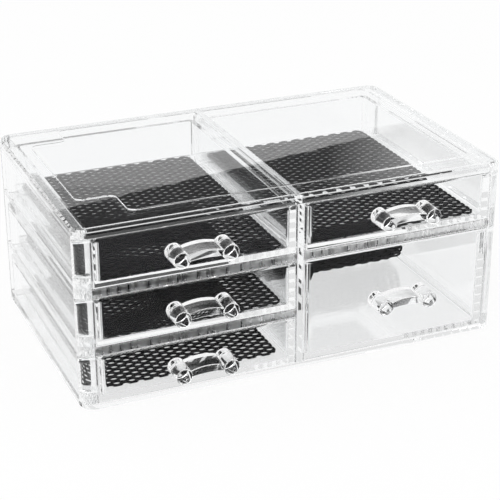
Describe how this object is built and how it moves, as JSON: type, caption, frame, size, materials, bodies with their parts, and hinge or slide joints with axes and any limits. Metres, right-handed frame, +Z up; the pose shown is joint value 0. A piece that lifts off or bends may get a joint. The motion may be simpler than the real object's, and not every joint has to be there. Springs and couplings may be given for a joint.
{
  "type": "clear makeup organizer with drawers",
  "caption": "Clear plastic desktop organizer: a low two-column case whose see-through drawers slide out by small bridge handles, with black net liners inside.",
  "frame": {"origin": "centre of the case's underside, on the surface it stands on; the handles reach forward of the case", "axes": "+Z up, +X to the right seen from the front, drawers open along -Y"},
  "size_m": [0.24, 0.1635, 0.1],
  "materials": {
    "clear_case": "clear, polished",
    "clear_drawer": "clear, polished",
    "clear_handle": "clear, polished",
    "net_liner": "soft matt foam net"
  },
  "bodies": {
    "case": {"base_panel": "clear_case", "top_panel": "clear_case", "left_side_panel": "clear_case", "right_side_panel": "clear_case", "back_panel": "clear_case", "centre_divider": "clear_case", "left_shelf_lower": "clear_case", "left_shelf_upper": "clear_case", "right_shelf": "clear_case"},
    "left_bottom_drawer": {"left_bottom_tray": "clear_drawer", "left_bottom_handle": "clear_handle", "left_bottom_liner": "net_liner"},
    "left_middle_drawer": {"left_middle_tray": "clear_drawer", "left_middle_handle": "clear_handle", "left_middle_liner": "net_liner"},
    "left_top_drawer": {"left_top_tray": "clear_drawer", "left_top_handle": "clear_handle", "left_top_liner": "net_liner"},
    "right_top_drawer": {"right_top_tray": "clear_drawer", "right_top_handle": "clear_handle", "right_top_liner": "net_liner"},
    "right_large_drawer": {"right_large_tray": "clear_drawer", "right_large_handle": "clear_handle", "right_large_liner": "net_liner"}
  },
  "joints": [
    {"name": "left_bottom_slide", "type": "slide", "parent": "case", "child": "left_bottom_drawer", "axis": [0, -1, 0], "range_m": [0, 0.115]},
    {"name": "left_middle_slide", "type": "slide", "parent": "case", "child": "left_middle_drawer", "axis": [0, -1, 0], "range_m": [0, 0.115]},
    {"name": "left_top_slide", "type": "slide", "parent": "case", "child": "left_top_drawer", "axis": [0, -1, 0], "range_m": [0, 0.115]},
    {"name": "right_top_slide", "type": "slide", "parent": "case", "child": "right_top_drawer", "axis": [0, -1, 0], "range_m": [0, 0.115]},
    {"name": "right_large_slide", "type": "slide", "parent": "case", "child": "right_large_drawer", "axis": [0, -1, 0], "range_m": [0, 0.115]}
  ]
}
